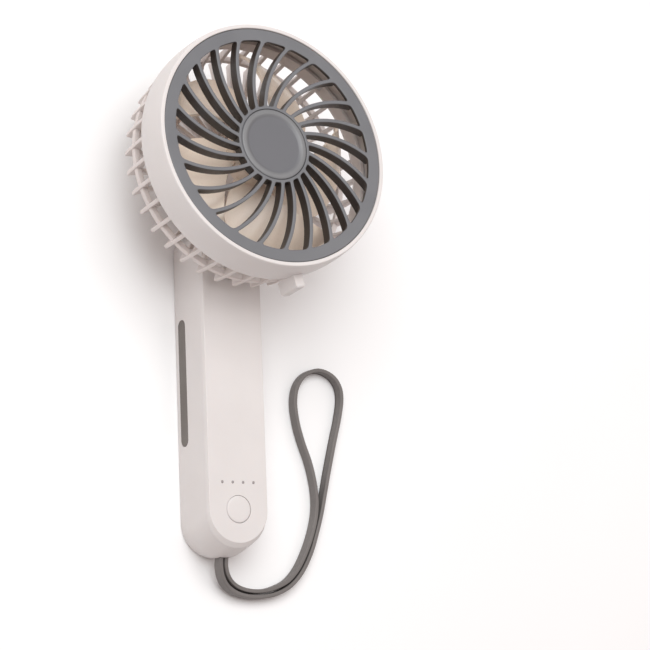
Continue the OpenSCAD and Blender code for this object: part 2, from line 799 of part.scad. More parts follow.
module motor_end_cap() {
    color([0.9, 0.9, 0.86]) on_head() translate([0, 0, motor_back]) difference() {
        cylinder(d = motor_d - 0.2, h = end_cap_t);
        translate([0, 0, -eps]) cylinder(r = bush_r, h = end_cap_t + 2 * eps);
    }
}

module motor_bushes() {
    color([0.78, 0.62, 0.3]) on_head() for (z = [motor_back, motor_front - bush_l])
        translate([0, 0, z]) difference() {
            cylinder(r = bush_r, h = bush_l);
            translate([0, 0, -eps]) cylinder(r = shaft_bore, h = bush_l + 2 * eps);
        }
}

magnet_r0 = motor_d / 2 - can_wall - 2.2;
magnet_half = 0.87 * magnet_r0;           // half the width of a magnet

module motor_magnets() {
    color([0.3, 0.3, 0.32]) on_head() translate([0, 0, motor_back + 3.2]) for (turn = [90, 270])
        rotate([0, 0, turn]) intersection() {
            tube(motor_d / 2 - can_wall - 0.05, magnet_r0, motor_l - 6);
            translate([0, -magnet_half, -eps]) cube([motor_d, 2 * magnet_half, motor_l]);
        }
}

module motor_armature() {
    l = motor_l - 8;
    pole_w = 3;
    color(copper) on_head() translate([0, 0, motor_back + 4]) difference() {
        for (i = [0:2]) rotate([0, 0, i * 120]) {
            cylinder(r = 3.4, h = l);
            translate([0, -pole_w / 2, 0]) cube([magnet_r0 - 1, pole_w, l]);
        }
        translate([0, 0, -eps]) cylinder(r = shaft_r, h = motor_l);
    }
}

hub_back = cup_front + 0.6;
hub_front = hub_back + 11.2;
shaft_top = hub_front - 1;

module motor_shaft() {
    shaft_end = motor_back - 0.6;
    color(steel) on_head() translate([0, 0, shaft_end]) cylinder(r = shaft_r, h = shaft_top - shaft_end);
}

module motor_leads() {
    color([0.7, 0.1, 0.1]) on_head() for (x = [-1, 1]) translate([x, lead_y, -head_d - 3])
        cylinder(r = lead_r, h = motor_back + head_d + 3, $fn = 24);
}

module motor_screws() {
    color(steel) on_head() for (side = [-1, 1]) translate([side * motor_screw_x, 0, motor_front - 1]) {
        cylinder(r = motor_screw_r, h = 1.1);
        translate([0, 0, 1]) cylinder(r = 1.4, h = 0.7);
    }
}

// ---- impeller ----
blade_r = flange_r0 - tip_gap;
blade_mid = hub_back + 4.2;
blade_camber_r = 46;
blade_turn = 25;
hub_wall = 1.4;

// Plan of a blade, swept forward at its outer edge
module blade_plan() {
    intersection() {
        difference() {
            circle(r = blade_r, $fn = 128);
            circle(r = impeller_hub_r - 0.6);
        }
        difference() {
            translate(blade_r * [0.38, 0.295]) circle(r = blade_r * 0.653);
            translate(blade_r * [0.084, 0.926]) circle(r = blade_r * 0.632);
        }
        translate([0, -blade_r]) square([blade_r, 2 * blade_r]);
    }
}

// A curved plate across the blade's axis, tilted to the blade's pitch
module blade_plate() {
    rotate([blade_pitch, 0, 0]) translate([0, 0, -blade_camber_r]) rotate([0, 90, 0])
        tube(blade_camber_r + blade_t / 2, blade_camber_r - blade_t / 2, 2 * blade_r);
}

module blade() {
    intersection() {
        translate([0, 0, -12]) linear_extrude(24) blade_plan();
        rotate([0, 0, blade_turn]) blade_plate();
    }
}

module impeller() {
    color(cream) on_head() {
        difference() {
            translate([0, 0, hub_back]) cylinder(r = impeller_hub_r, h = hub_front - hub_back);
            difference() {
                translate([0, 0, hub_back - eps])
                    cylinder(r = impeller_hub_r - hub_wall, h = hub_front - hub_back - 1.6 + eps);
                translate([0, 0, hub_back + 1.5]) cylinder(r = 3, h = hub_front - hub_back);
            }
            translate([0, 0, hub_back]) cylinder(r = shaft_r, h = shaft_top - hub_back);
        }
        for (i = [0:blade_n - 1]) rotate([0, 0, i * 360 / blade_n]) translate([0, 0, blade_mid]) blade();
    }
}

rear_shell();
front_panel();
hinge_yoke();
yoke_screws();
hinge_pin();
friction_washers();
power_button();
switch_plunger();
tact_switch();
circuit_board();
board_parts();
board_screws();
charge_port();
led_lenses();
battery_cell();
battery_tabs();
battery_pad();
battery_leads();
side_strip_left();
side_strip_right();
strap_anchor();
wrist_strap();
front_ring();
front_grille();
hub_cap();
rear_cage();
cage_screws();
neck_arm();
neck_screws();
motor_can();
motor_end_cap();
motor_magnets();
motor_bushes();
motor_leads();
motor_screws();
impeller();
motor_shaft();
motor_armature();
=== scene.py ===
import json
import math

import bmesh
import bpy
from mathutils import Matrix, Vector


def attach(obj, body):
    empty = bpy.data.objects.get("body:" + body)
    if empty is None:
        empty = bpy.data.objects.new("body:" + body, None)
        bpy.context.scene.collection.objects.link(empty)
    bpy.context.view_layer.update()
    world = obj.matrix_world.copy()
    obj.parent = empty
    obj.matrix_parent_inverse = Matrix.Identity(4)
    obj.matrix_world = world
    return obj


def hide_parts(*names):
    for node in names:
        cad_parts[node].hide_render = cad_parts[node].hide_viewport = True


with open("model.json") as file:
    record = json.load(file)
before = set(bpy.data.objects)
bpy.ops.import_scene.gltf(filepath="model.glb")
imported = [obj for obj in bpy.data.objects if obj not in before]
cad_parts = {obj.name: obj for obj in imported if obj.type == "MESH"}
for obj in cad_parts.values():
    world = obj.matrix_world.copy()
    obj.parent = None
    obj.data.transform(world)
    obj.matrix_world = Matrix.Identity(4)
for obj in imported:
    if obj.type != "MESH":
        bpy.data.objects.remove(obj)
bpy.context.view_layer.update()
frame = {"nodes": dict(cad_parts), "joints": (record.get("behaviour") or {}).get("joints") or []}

mm = 0.001


# camera
cameraSetup = {
    "place": (-0.5583, -0.1599, 0.9622),
    "target": (0.0465, 0.0321, 0.0272),
    "roll": -2.24,
    "lens": 140.35,
}


def makeCamera(setup):
    data = bpy.data.cameras.new("camera")
    data.sensor_width = 36
    data.lens = setup["lens"]
    place = Vector(setup["place"])
    back = (place - Vector(setup["target"])).normalized()
    right = Vector((0, 1, 0)).cross(back).normalized()
    turn = Matrix((right, back.cross(right), back)).transposed().to_4x4()
    camera = bpy.data.objects.new("camera", data)
    roll = Matrix.Rotation(math.radians(setup["roll"]), 4, "Z")
    camera.matrix_world = Matrix.Translation(place) @ turn @ roll
    bpy.context.collection.objects.link(camera)
    bpy.context.scene.camera = camera


makeCamera(cameraSetup)
print("camera ready")


# materials
def newMaterial(name, **values):
    material = bpy.data.materials.new(name)
    material.use_nodes = True
    shader = material.node_tree.nodes["Principled BSDF"]
    for socket, value in values.items():
        shader.inputs[socket.replace("_", " ")].default_value = value
    return material, material.node_tree, shader


def objectPoint(tree, stretch=(1, 1, 1)):
    # the point on the piece, so that a pattern stays on it when it moves
    coords = tree.nodes.new("ShaderNodeTexCoord")
    mapping = tree.nodes.new("ShaderNodeMapping")
    mapping.inputs["Scale"].default_value = stretch
    tree.links.new(coords.outputs["Object"], mapping.inputs["Vector"])
    return mapping.outputs["Vector"]


def noise(tree, point, scale, detail=3.0, roughness=0.5):
    node = tree.nodes.new("ShaderNodeTexNoise")
    node.inputs["Scale"].default_value = scale
    node.inputs["Detail"].default_value = detail
    node.inputs["Roughness"].default_value = roughness
    tree.links.new(point, node.inputs["Vector"])
    return node.outputs["Fac"]


def ramp(tree, value, low, high, start=0.3, end=0.7):
    # low and high are colours, or greys for a roughness
    node = tree.nodes.new("ShaderNodeValToRGB")
    node.color_ramp.elements[0].position = start
    node.color_ramp.elements[1].position = end
    for element, shade in zip(node.color_ramp.elements, (low, high)):
        element.color = (*shade, 1) if isinstance(shade, tuple) else (shade, shade, shade, 1)
    tree.links.new(value, node.inputs["Fac"])
    return node.outputs["Color"]


def addBump(tree, shader, height, strength, distance):
    bump = tree.nodes.new("ShaderNodeBump")
    bump.inputs["Strength"].default_value = strength
    bump.inputs["Distance"].default_value = distance
    tree.links.new(height, bump.inputs["Height"])
    tree.links.new(bump.outputs["Normal"], shader.inputs["Normal"])


def paintRecessShade(tree, colour, shade):
    # painted shade: the moulding's own depth, kept on its points, darkens the sides and hollows behind its
    # front face, standing in for the shade that falls there
    depth = tree.nodes.new("ShaderNodeAttribute")
    depth.attribute_name = "depth"
    mix = tree.nodes.new("ShaderNodeMix")
    mix.data_type = "RGBA"
    mix.inputs[7].default_value = (*shade, 1)
    tree.links.new(depth.outputs["Fac"], mix.inputs[0])
    tree.links.new(colour, mix.inputs[6])
    return mix.outputs[2]


def mouldedPlastic(name, look):
    # fine spark-eroded grain, with faint cloudiness in the colour and the gloss
    material, tree, shader = newMaterial(name, Specular_IOR_Level=look.get("specular", 0.5), IOR=1.5)
    shader.inputs["Subsurface Weight"].default_value = look.get("glow", 0.0)
    shader.inputs["Subsurface Radius"].default_value = (1.0, 0.7, 0.5)
    shader.inputs["Subsurface Scale"].default_value = 0.0012
    point = objectPoint(tree)
    cloud = noise(tree, point, look.get("cloudScale", 45), 4)
    grain = noise(tree, point, look["grainScale"], 2, 0.6)
    colour = ramp(tree, cloud, look["dark"], look["light"])
    # painted shade: a look that gives a recessShade colour darkens its recesses by depth
    if "recessShade" in look:
        colour = paintRecessShade(tree, colour, look["recessShade"])
    tree.links.new(colour, shader.inputs["Base Color"])
    gloss = ramp(tree, grain, look["smooth"], look["rough"])
    tree.links.new(gloss, shader.inputs["Roughness"])
    addBump(tree, shader, grain, look["bump"], look["grainDepth"])
    return material


def brushedMetal(name, dark, light, stretch, roughLow=0.22, roughHigh=0.4):
    material, tree, shader = newMaterial(name, Metallic=1.0)
    point = objectPoint(tree, stretch)
    streaks = noise(tree, point, 900, 4, 0.6)
    tree.links.new(ramp(tree, streaks, dark, light), shader.inputs["Base Color"])
    tree.links.new(ramp(tree, streaks, roughLow, roughHigh), shader.inputs["Roughness"])
    addBump(tree, shader, streaks, 0.12, 0.00003)
    return material


plasticLooks = {
    "whiteShell": {
        "dark": (0.685, 0.65, 0.635), "light": (0.715, 0.68, 0.665), "smooth": 0.42, "rough": 0.52,
        "grainScale": 2600, "grainDepth": 0.00002, "bump": 0.25, "glow": 0.06,
    },
    "whiteCage": {
        "dark": (0.70, 0.64, 0.615), "light": (0.73, 0.67, 0.645), "smooth": 0.40, "rough": 0.50,
        "grainScale": 2600, "grainDepth": 0.00002, "bump": 0.2, "glow": 0.05,
    },
    "greyGrille": {
        "dark": (0.150, 0.153, 0.163), "light": (0.172, 0.175, 0.185), "smooth": 0.34, "rough": 0.46,
        # the recessShade colour is painted shade on the vane sides and slot sides
        "grainScale": 3200, "grainDepth": 0.000025, "bump": 0.35, "recessShade": (0.04, 0.03, 0.025),
    },
    "greyCap": {
        "dark": (0.185, 0.187, 0.193), "light": (0.208, 0.21, 0.215), "smooth": 0.36, "rough": 0.48,
        # the recessShade colour is painted shade in the cap's sunken dish
        "grainScale": 3200, "grainDepth": 0.000025, "bump": 0.35, "recessShade": (0.132, 0.134, 0.146),
    },
    "creamBlades": {
        "dark": (0.78, 0.655, 0.545), "light": (0.82, 0.69, 0.58), "smooth": 0.26, "rough": 0.34,
        "grainScale": 1500, "grainDepth": 0.00001, "bump": 0.12, "glow": 0.08,
    },
    "stripRubber": {
        "dark": (0.165, 0.148, 0.135), "light": (0.20, 0.182, 0.168), "smooth": 0.62, "rough": 0.78,
        "grainScale": 1700, "grainDepth": 0.00006, "bump": 0.6, "specular": 0.35,
    },
    "darkPlastic": {
        "dark": (0.02, 0.02, 0.021), "light": (0.03, 0.03, 0.031), "smooth": 0.4, "rough": 0.55,
        "grainScale": 2400, "grainDepth": 0.00003, "bump": 0.3,
    },
    "solderMask": {
        "dark": (0.01, 0.09, 0.04), "light": (0.015, 0.13, 0.06), "smooth": 0.25, "rough": 0.35,
        "grainScale": 900, "grainDepth": 0.00004, "bump": 0.3,
    },
    "lightGuide": {
        "dark": (0.30, 0.27, 0.27), "light": (0.36, 0.33, 0.33), "smooth": 0.16, "rough": 0.24,
        "grainScale": 1800, "grainDepth": 0.00001, "bump": 0.1,
    },
    "cellSleeve": {
        "dark": (0.03, 0.15, 0.24), "light": (0.04, 0.19, 0.29), "smooth": 0.22, "rough": 0.32,
        "grainScale": 700, "grainDepth": 0.00003, "bump": 0.2,
    },
    "foam": {
        "dark": (0.02, 0.02, 0.02), "light": (0.045, 0.045, 0.045), "smooth": 0.85, "rough": 0.95,
        "grainScale": 1100, "grainDepth": 0.0002, "bump": 0.9,
    },
    "redWire": {
        "dark": (0.42, 0.02, 0.02), "light": (0.52, 0.03, 0.03), "smooth": 0.35, "rough": 0.45,
        "grainScale": 1500, "grainDepth": 0.00002, "bump": 0.2,
    },
    "nylon": {
        "dark": (0.70, 0.69, 0.63), "light": (0.76, 0.75, 0.69), "smooth": 0.38, "rough": 0.5,
        "grainScale": 1800, "grainDepth": 0.00002, "bump": 0.2,
    },
    "magnet": {
        "dark": (0.05, 0.05, 0.055), "light": (0.09, 0.09, 0.095), "smooth": 0.6, "rough": 0.8,
        "grainScale": 2200, "grainDepth": 0.00008, "bump": 0.7,
    },
}
materials = {name: mouldedPlastic(name, look) for name, look in plasticLooks.items()}
materials["steel"] = brushedMetal("steel", (0.50, 0.51, 0.53), (0.62, 0.63, 0.65), (1, 1, 0.05))
materials["bronze"] = brushedMetal("bronze", (0.50, 0.34, 0.14), (0.60, 0.42, 0.19), (1, 1, 1), 0.4, 0.6)
materials["copper"] = brushedMetal("copper", (0.50, 0.20, 0.08), (0.66, 0.30, 0.13), (1, 1, 0.1), 0.3, 0.45)
print("materials ready")


# shaping helpers: a bmesh is in millimetres until its piece is finished
def lathe(bm, outline, steps=144):
    # turns a closed outline of (radius, height) points about the Z axis
    verts = [bm.verts.new((radius, 0, height)) for radius, height in outline]
    edges = [bm.edges.new(pair) for pair in zip(verts, verts[1:] + verts[:1])]
    bmesh.ops.spin(bm, geom=verts + edges, cent=(0, 0, 0), axis=(0, 0, 1), dvec=(0, 0, 0),
                   angle=2 * math.pi, steps=steps, use_merge=True, use_duplicate=False)
    bmesh.ops.remove_doubles(bm, verts=bm.verts, dist=0.001)
    # the pieces of outline that run along the axis leave no face worth keeping
    thin = [face for face in bm.faces if face.calc_area() < 1e-7]
    bmesh.ops.delete(bm, geom=thin, context="FACES")
    loose = [edge for edge in bm.edges if not edge.link_faces]
    bmesh.ops.delete(bm, geom=loose, context="EDGES")


def outwards(bm):
    bmesh.ops.recalc_face_normals(bm, faces=bm.faces)


def softenEdges(bm, width, segments=2, sharpest=40, chosen=None):
    edges = chosen or [
        edge for edge in bm.edges
        if len(edge.link_faces) == 2 and edge.calc_face_angle(0) > math.radians(sharpest)
    ]
    bmesh.ops.bevel(bm, geom=edges, offset=width, offset_type="OFFSET", segments=segments, profile=0.5,
                    affect="EDGES", material=-1, clamp_overlap=True)


def box(bm, size, centre):
    made = bmesh.ops.create_cube(bm, size=1)["verts"]
    bmesh.ops.scale(bm, verts=made, vec=size)
    bmesh.ops.translate(bm, verts=made, vec=centre)
    return made


def rod(bm, radius, start, end, segments=32, endRadius=None):
    # a cylinder or cone between two points
    start, end = Vector(start), Vector(end)
    along = end - start
    turn = along.to_track_quat("Z", "Y").to_matrix().to_4x4()
    return bmesh.ops.create_cone(
        bm, cap_ends=True, segments=segments, radius1=radius, radius2=endRadius or radius,
        depth=along.length, matrix=Matrix.Translation((start + end) / 2) @ turn)["verts"]


def uprightEdges(bm, verts):
    # the edges along Z among these corners
    inside = set(verts)
    return [
        edge for edge in bm.edges
        if edge.verts[0] in inside and abs((edge.verts[0].co - edge.verts[1].co).normalized().z) > 0.99
    ]


def shade(mesh, sharpest):
    bm = bmesh.new()
    bm.from_mesh(mesh)
    for face in bm.faces:
        face.smooth = True
    for edge in bm.edges:
        edge.smooth = len(edge.link_faces) == 2 and edge.calc_face_angle(0) < math.radians(sharpest)
    bm.to_mesh(mesh)
    bm.free()


def markShadeDepth(piece, start, full):
    # how far each point lies behind the front of the head, from 0 at start to 1 at full, in millimetres; it
    # is the mask of the painted shade
    back = headPlace.inverted()
    depth = piece.data.attributes.new("depth", "FLOAT", "POINT")
    for vert, item in zip(piece.data.vertices, depth.data):
        behind = -(back @ vert.co).z / mm
        item.value = min(1.0, max(0.0, (behind - start) / (full - start)))


def ridePiece(piece, material, body, replaced=(), sharpest=38):
    shade(piece.data, sharpest)
    piece.data.materials.clear()
    piece.data.materials.append(materials[material])
    weigh = piece.modifiers.new("even shading", "WEIGHTED_NORMAL")
    weigh.keep_sharp = True
    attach(piece, body)
    if replaced:
        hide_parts(*replaced)
    return piece


def toObject(name, bm, place=None):
    outwards(bm)
    bmesh.ops.transform(bm, matrix=(place or Matrix()) @ Matrix.Scale(mm, 4), verts=bm.verts)
    mesh = bpy.data.meshes.new(name)
    bm.to_mesh(mesh)
    bm.free()
    piece = bpy.data.objects.new(name, mesh)
    bpy.context.collection.objects.link(piece)
    return piece


def applyModifiers(piece):
    seen = piece.evaluated_get(bpy.context.evaluated_depsgraph_get())
    mesh = bpy.data.meshes.new_from_object(seen)
    piece.modifiers.clear()
    piece.data = mesh


def carve(piece, tools):
    # cuts a bmesh of closed tools, in millimetres, out of a piece
    cutter = toObject("cutter", tools)
    cut = piece.modifiers.new("carve", "BOOLEAN")
    cut.operation = "DIFFERENCE"
    cut.solver = "EXACT"
    cut.object = cutter
    applyModifiers(piece)
    bpy.data.objects.remove(cutter)


def headMatrix():
    # the head's own frame: its axis is Z and the front of its grille is at zero
    joint = next(j for j in frame["joints"] if j["name"] == "impeller_spin")
    axis = Vector(joint["axis"]).normalized()
    right = Vector((1, 0, 0))
    turn = Matrix((right, axis.cross(right), axis)).transposed().to_4x4()
    return Matrix.Translation(joint["pos_m"]) @ turn


headPlace = headMatrix()


# wrist strap
strap = {"width": 5, "thickness": 1.8, "length": 0.325, "exit": (-0.0015, -0.071, 0.0095), "smoothing": 4}
strapRoute = [
    (-0.0015, -0.0660, 0.0095), (-0.0015, -0.0700, 0.0095), (-0.0015, -0.0740, 0.0090),
    (0.0000, -0.0785, 0.0075), (0.0035, -0.0825, 0.0055), (0.0090, -0.0855, 0.0040),
    (0.0160, -0.0870, 0.0030), (0.0235, -0.0870, 0.0027), (0.0310, -0.0855, 0.0027),
    (0.0380, -0.0820, 0.0027), (0.0440, -0.0760, 0.0027), (0.0490, -0.0675, 0.0027),
    (0.0525, -0.0585, 0.0027), (0.0555, -0.0490, 0.0027), (0.0580, -0.0390, 0.0027),
    (0.0605, -0.0290, 0.0027), (0.0640, -0.0160, 0.0027), (0.0670, -0.0055, 0.0027),
    (0.0685, 0.0030, 0.0027), (0.0675, 0.0090, 0.0027), (0.0635, 0.0135, 0.0027),
    (0.0565, 0.0155, 0.0027), (0.0495, 0.0130, 0.0027), (0.0450, 0.0075, 0.0027),
    (0.0435, 0.0000, 0.0027), (0.0445, -0.0090, 0.0027), (0.0470, -0.0180, 0.0027),
    (0.0500, -0.0260, 0.0027), (0.0520, -0.0340, 0.0027), (0.0530, -0.0420, 0.0027),
    (0.0525, -0.0500, 0.0027), (0.0500, -0.0590, 0.0027), (0.0465, -0.0670, 0.0027),
    (0.0420, -0.0745, 0.0027), (0.0365, -0.0800, 0.0027), (0.0300, -0.0830, 0.0027),
    (0.0235, -0.0845, 0.0027), (0.0165, -0.0845, 0.0030), (0.0100, -0.0830, 0.0040),
    (0.0055, -0.0805, 0.0055), (0.0025, -0.0775, 0.0075), (0.0010, -0.0740, 0.0090),
    (0.0010, -0.0700, 0.0095), (0.0010, -0.0660, 0.0095),
]


def smoothRoute(points, steps):
    # Catmull-Rom curve through the points
    points = [Vector(point) for point in points]
    padded = [points[0], *points, points[-1]]
    curve = []
    for before, a, b, after in zip(padded, padded[1:], padded[2:], padded[3:]):
        for i in range(steps):
            t = i / steps
            curve.append(0.5 * (2 * a + (b - before) * t + (2 * before - 5 * a + 4 * b - after) * t ** 2
                                + (3 * a - before - 3 * b + after) * t ** 3))
    return curve + [points[-1]]


def strapSection(bm, size):
    # a flat oblong with round edges, as a ring of edges
    made = bmesh.ops.create_grid(bm, x_segments=1, y_segments=1, size=0.5)["verts"]
    bmesh.ops.scale(bm, verts=made, vec=(size["thickness"] * mm, size["width"] * mm, 1))
    bmesh.ops.bevel(bm, geom=made, offset=0.45 * mm, offset_type="OFFSET", segments=3, profile=0.5,
                    affect="VERTICES", material=-1)
    bmesh.ops.delete(bm, geom=bm.faces[:], context="FACES_ONLY")
    return bm.verts[:], bm.edges[:]


def makeStrap():
    curve = smoothRoute(strapRoute, strap["smoothing"])
    bm = bmesh.new()
    section, ring = strapSection(bm, strap)
    shape = [vert.co.copy() for vert in section]
    bmesh.ops.contextual_create(bm, geom=ring)  # closes the hidden end
    uvs = bm.loops.layers.uv.new("UVMap")
    run = 0.0
    for index, point in enumerate(curve):
        ahead = curve[min(index + 1, len(curve) - 1)] - curve[max(index - 1, 0)]
        side = ahead.cross(Vector((0, 0, 1))).normalized()
        up = side.cross(ahead).normalized()
        if index:
            run += (point - curve[index - 1]).length
            grown = bmesh.ops.extrude_edge_only(bm, edges=ring)["geom"]
            section = [part for part in grown if isinstance(part, bmesh.types.BMVert)]
            ring = [part for part in grown if isinstance(part, bmesh.types.BMEdge)]
        for vert, local in zip(section, shape):
            vert.co = point + side * local.x + up * local.y
        for vert in section:
            for loop in vert.link_loops:
                loop[uvs].uv.x = run
    bmesh.ops.contextual_create(bm, geom=ring)
    outwards(bm)
    mesh = bpy.data.meshes.new("wristStrap")
    bm.to_mesh(mesh)
    bm.free()
    piece = bpy.data.objects.new("wristStrap", mesh)
    bpy.context.collection.objects.link(piece)
    return piece, curve


plasticLooks["strap"] = {
    "dark": (0.155, 0.142, 0.135), "light": (0.185, 0.170, 0.163), "smooth": 0.5, "rough": 0.64,
    "grainScale": 2200, "grainDepth": 0.00004, "bump": 0.5, "specular": 0.4,
}
materials["strap"] = mouldedPlastic("strap", plasticLooks["strap"])
wristStrap, strapCurve = makeStrap()
ridePiece(wristStrap, "strap", "handle", ["wrist_strap"])
print("strap ready")


# handle
handle = {
    "width": 30, "bottom": -71, "top": 71, "seam": 65,
    "bulge": 10, "frontLean": 18, "backLean": 10, "leanBlend": 0.9,
    "backRadius": 2.2, "topRadius": 7, "shellFront": 23, "front": 25, "wall": 1.8,
    "edge": 0.3,
}
endLevels = (4, 6, 7.5, 9, 10, 11, 12.5, 14, 16, 18, 20, 21.5)


def endLean(z):
    # how far the round end draws in at a height
    angle = handle["frontLean"] if z > handle["bulge"] else handle["backLean"]
    rise = (z - handle["bulge"]) * math.tan(math.radians(angle))
    return math.hypot(rise, handle["leanBlend"]) - handle["leanBlend"]


def handleBlock(front, inset=0.0):
    half = handle["width"] / 2 - inset
    length = handle["top"] - handle["bottom"] - 2 * inset
    bm = bmesh.new()
    verts = box(bm, (2 * half, length, front - inset), (0, 0, (front + inset) / 2))
    upright = uprightEdges(bm, verts)
    bottomEdges = [edge for edge in upright if edge.verts[0].co.y < 0]
    topEdges = [edge for edge in upright if edge.verts[0].co.y > 0]
    softenEdges(bm, half - 0.01, 40, chosen=bottomEdges)
    topEdges = [edge for edge in topEdges if edge.is_valid]
    softenEdges(bm, handle["topRadius"] - inset, 14, chosen=topEdges)
    for level in endLevels:
        bmesh.ops.bisect_plane(bm, geom=bm.verts[:] + bm.edges[:] + bm.faces[:], dist=0.0001,
                               plane_co=(0, 0, level), plane_no=(0, 0, 1))
    roundStart = handle["bottom"] + handle["width"] / 2 + 0.01
    for vert in bm.verts:
        if vert.co.y < roundStart:
            vert.co.y += endLean(vert.co.z)
    back = [edge for edge in bm.edges if all(abs(vert.co.z - inset) < 1e-4 for vert in edge.verts)]
    outwards(bm)
    softenEdges(bm, handle["backRadius"] - inset, 6, chosen=back)
    return bm


def splitAt(bm, y, keepBelow):
    bmesh.ops.bisect_plane(bm, geom=bm.verts[:] + bm.edges[:] + bm.faces[:], dist=0.0001,
                           plane_co=(0, y, 0), plane_no=(0, 1, 0), clear_outer=keepBelow,
                           clear_inner=not keepBelow)


def stadium(bm, length, width, depth, centre, across):
    # a bar along Y with full round ends, its depth along the axis named across
    verts = box(bm, (width, length, depth), (0, 0, 0))
    bmesh.ops.bevel(bm, geom=uprightEdges(bm, verts), offset=width / 2 - 0.01, offset_type="OFFSET",
                    segments=12, profile=0.5, affect="EDGES", material=-1)
    fresh = bm.verts[:]
    if across == "X":
        bmesh.ops.rotate(bm, verts=fresh, cent=(0, 0, 0), matrix=Matrix.Rotation(math.pi / 2, 3, "Y"))
    bmesh.ops.translate(bm, verts=fresh, vec=centre)


def addCopy(target, source):
    # puts one bmesh into another
    mesh = bpy.data.meshes.new("copy")
    source.to_mesh(mesh)
    source.free()
    target.from_mesh(mesh)
    bpy.data.meshes.remove(mesh)


strip = {"length": 56, "width": 6, "thickness": 1.1, "proud": 0.15, "y": 6, "z": 6.1, "gap": 0.12}
strapSlot = {"x": -0.25, "z": 9.5, "width": 4.9, "height": 5.6}
port = {"y": -50, "z": 12.9, "width": 8.0, "height": 3.2, "depth": 5}
yokeScrews = {"x": 8.5, "y": 51.8, "hole": 2.0, "depth": 0.9}


def closeHoles(bm):
    rims = [edge for edge in bm.edges if len(edge.link_faces) == 1]
    bmesh.ops.holes_fill(bm, edges=rims, sides=0)
    outwards(bm)


def tidyCut(bm, width, segments, sharpest):
    bmesh.ops.remove_doubles(bm, verts=bm.verts, dist=0.04)
    bmesh.ops.dissolve_limit(bm, verts=bm.verts, edges=bm.edges, angle_limit=math.radians(1),
                             use_dissolve_boundaries=False, delimit=set())
    softenEdges(bm, width, segments, sharpest)
    bmesh.ops.remove_doubles(bm, verts=bm.verts, dist=0.002)


def makeShell():
    bm = handleBlock(handle["shellFront"])
    splitAt(bm, handle["seam"], True)
    closeHoles(bm)
    shell = toObject("rearShell", bm)
    tools = bmesh.new()
    addCopy(tools, handleBlock(handle["front"], handle["wall"]))
    outwards(tools)
    carve(shell, tools)
    tools = bmesh.new()
    for side in (-1, 1):
        cut = bmesh.new()
        reach = strip["thickness"] + 1
        middle = side * (handle["width"] / 2 - strip["thickness"] + reach / 2)
        stadium(cut, strip["length"] + 2 * strip["gap"], strip["width"] + 2 * strip["gap"], reach,
                (middle, strip["y"], strip["z"]), "X")
        addCopy(tools, cut)
        rod(tools, yokeScrews["hole"], (side * yokeScrews["x"], yokeScrews["y"], -1),
            (side * yokeScrews["x"], yokeScrews["y"], yokeScrews["depth"]))
    box(tools, (strapSlot["width"], 9, strapSlot["height"]),
        (strapSlot["x"], handle["bottom"] + 1, strapSlot["z"]))
    box(tools, (port["depth"], port["width"], port["height"]), (handle["width"] / 2, port["y"], port["z"]))
    outwards(tools)
    carve(shell, tools)
    return ridePiece(shell, "whiteShell", "handle", ["rear_shell"], 30)


panel = {"inset": 0.5, "arcY": -51, "lensHole": 0.66, "buttonHole": 6.08,
         "slotHalf": 6.45, "slotY": 49.5}
lights = {"count": 4, "pitch": 5.2, "y": -39.3, "radius": 0.6, "bottom": 15.6, "top": 25.06}
button = {"radius": 5.95, "top": 25.32, "flange": 6.8, "flangeTop": 22.7, "flangeBottom": 21.8, "stem": 1.5,
          "stemBottom": 20.5}


def lightPlaces():
    middle = (lights["count"] - 1) / 2
    return [((i - middle) * lights["pitch"], lights["y"]) for i in range(lights["count"])]


def makePanel():
    # the front slice of the handle's block, its face drawn in to a crisp round-ended outline
    half = handle["width"] / 2 - panel["inset"]
    bm = handleBlock(handle["front"])
    splitAt(bm, handle["seam"], True)
    bmesh.ops.bisect_plane(bm, geom=bm.verts[:] + bm.edges[:] + bm.faces[:], dist=0.0001,
                           plane_co=(0, 0, handle["shellFront"]), plane_no=(0, 0, 1), clear_inner=True)
    for vert in bm.verts:
        if vert.co.z < handle["front"] - 0.01:
            continue
        flat = Vector((vert.co.x, vert.co.y - panel["arcY"]))
        if flat.y < 0:
            flat = flat.normalized() * half
        vert.co.x = max(-half, min(half, flat.x))
        vert.co.y = flat.y + panel["arcY"]
    closeHoles(bm)
    rim = [edge for edge in bm.edges if all(vert.co.z > handle["front"] - 0.01 for vert in edge.verts)]
    softenEdges(bm, 0.2, 3, chosen=rim)
    piece = toObject("frontPanel", bm)
    tools = bmesh.new()
    for x, y in lightPlaces():
        rod(tools, panel["lensHole"], (x, y, handle["shellFront"] - 1), (x, y, handle["front"] + 1), 20)
    rod(tools, panel["buttonHole"], (0, panel["arcY"], handle["shellFront"] - 1),
        (0, panel["arcY"], handle["front"] + 1), 72)
    box(tools, (2 * panel["slotHalf"], 40, 6), (0, panel["slotY"] + 20, handle["front"] - 1))
    outwards(tools)
    carve(piece, tools)
    return ridePiece(piece, "whiteShell", "handle", ["front_panel"])


def makeButton():
    radius, top = button["radius"], button["top"]
    bm = bmesh.new()
    lathe(bm, [(0, top), (2.2, top - 0.01), (3.8, top - 0.04), (5.0, top - 0.1), (5.5, top - 0.17),
               (5.8, top - 0.3), (radius, top - 0.55), (radius, button["flangeTop"]),
               (button["flange"], button["flangeTop"]), (button["flange"], button["flangeBottom"]),
               (button["stem"], button["flangeBottom"]), (button["stem"], button["stemBottom"]),
               (0, button["stemBottom"])], 96)
    bmesh.ops.translate(bm, verts=bm.verts, vec=(0, panel["arcY"], 0))
    return ridePiece(toObject("powerButton", bm), "whiteShell", "button", ["power_button"])


